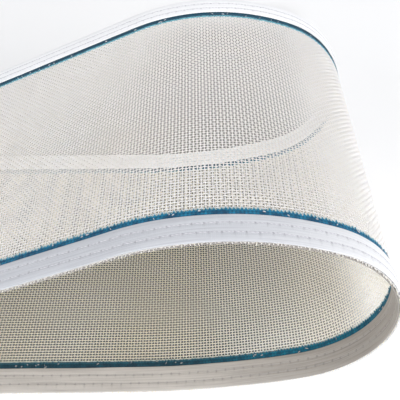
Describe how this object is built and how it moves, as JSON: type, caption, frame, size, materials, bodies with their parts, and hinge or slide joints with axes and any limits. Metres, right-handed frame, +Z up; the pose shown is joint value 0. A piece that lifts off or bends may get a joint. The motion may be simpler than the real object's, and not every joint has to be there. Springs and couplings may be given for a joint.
{
  "type": "polyester mesh conveyor belt",
  "caption": "Endless open-mesh polyester conveyor belt with sewn edge tapes, blue resin edge lines and a pinned joint, lying as a slack loop.",
  "frame": {"origin": "under the middle of the loop, on the surface that the lower run lies on", "axes": "+X along the belt, +Y across the belt to its far edge, +Z up"},
  "size_m": [0.614, 0.203, 0.1351],
  "materials": {
    "polyester_mesh": "plain-woven monofilament",
    "edge_tape": "woven tape",
    "blue_resin": "cured resin",
    "joint_strip": "folded woven strip",
    "sewing_thread": "twisted thread",
    "clear_pin": "drawn monofilament"
  },
  "bodies": {
    "belt": {"mesh_fabric": "polyester_mesh", "far_outer_tape": "edge_tape", "far_inner_tape": "edge_tape", "near_outer_tape": "edge_tape", "near_inner_tape": "edge_tape", "far_resin_line": "blue_resin", "near_resin_line": "blue_resin", "right_joint_strip": "joint_strip", "left_joint_strip": "joint_strip", "far_tape_row_1_needle_thread": "sewing_thread", "far_tape_row_2_needle_thread": "sewing_thread", "far_tape_row_1_bobbin_thread": "sewing_thread", "far_tape_row_2_bobbin_thread": "sewing_thread", "near_tape_row_1_needle_thread": "sewing_thread", "near_tape_row_2_needle_thread": "sewing_thread", "near_tape_row_1_bobbin_thread": "sewing_thread", "near_tape_row_2_bobbin_thread": "sewing_thread", "right_joint_row_1_needle_thread": "sewing_thread", "right_joint_row_1_bobbin_thread": "sewing_thread", "right_joint_row_2_needle_thread": "sewing_thread", "right_joint_row_2_bobbin_thread": "sewing_thread", "left_joint_row_1_needle_thread": "sewing_thread", "left_joint_row_1_bobbin_thread": "sewing_thread", "left_joint_row_2_needle_thread": "sewing_thread", "left_joint_row_2_bobbin_thread": "sewing_thread"},
    "pin": {"joint_pin": "clear_pin"}
  },
  "joints": [
    {"name": "pin_pull", "type": "slide", "parent": "belt", "child": "pin", "axis": [0, -1, 0], "range_m": [0, 0.203]}
  ]
}
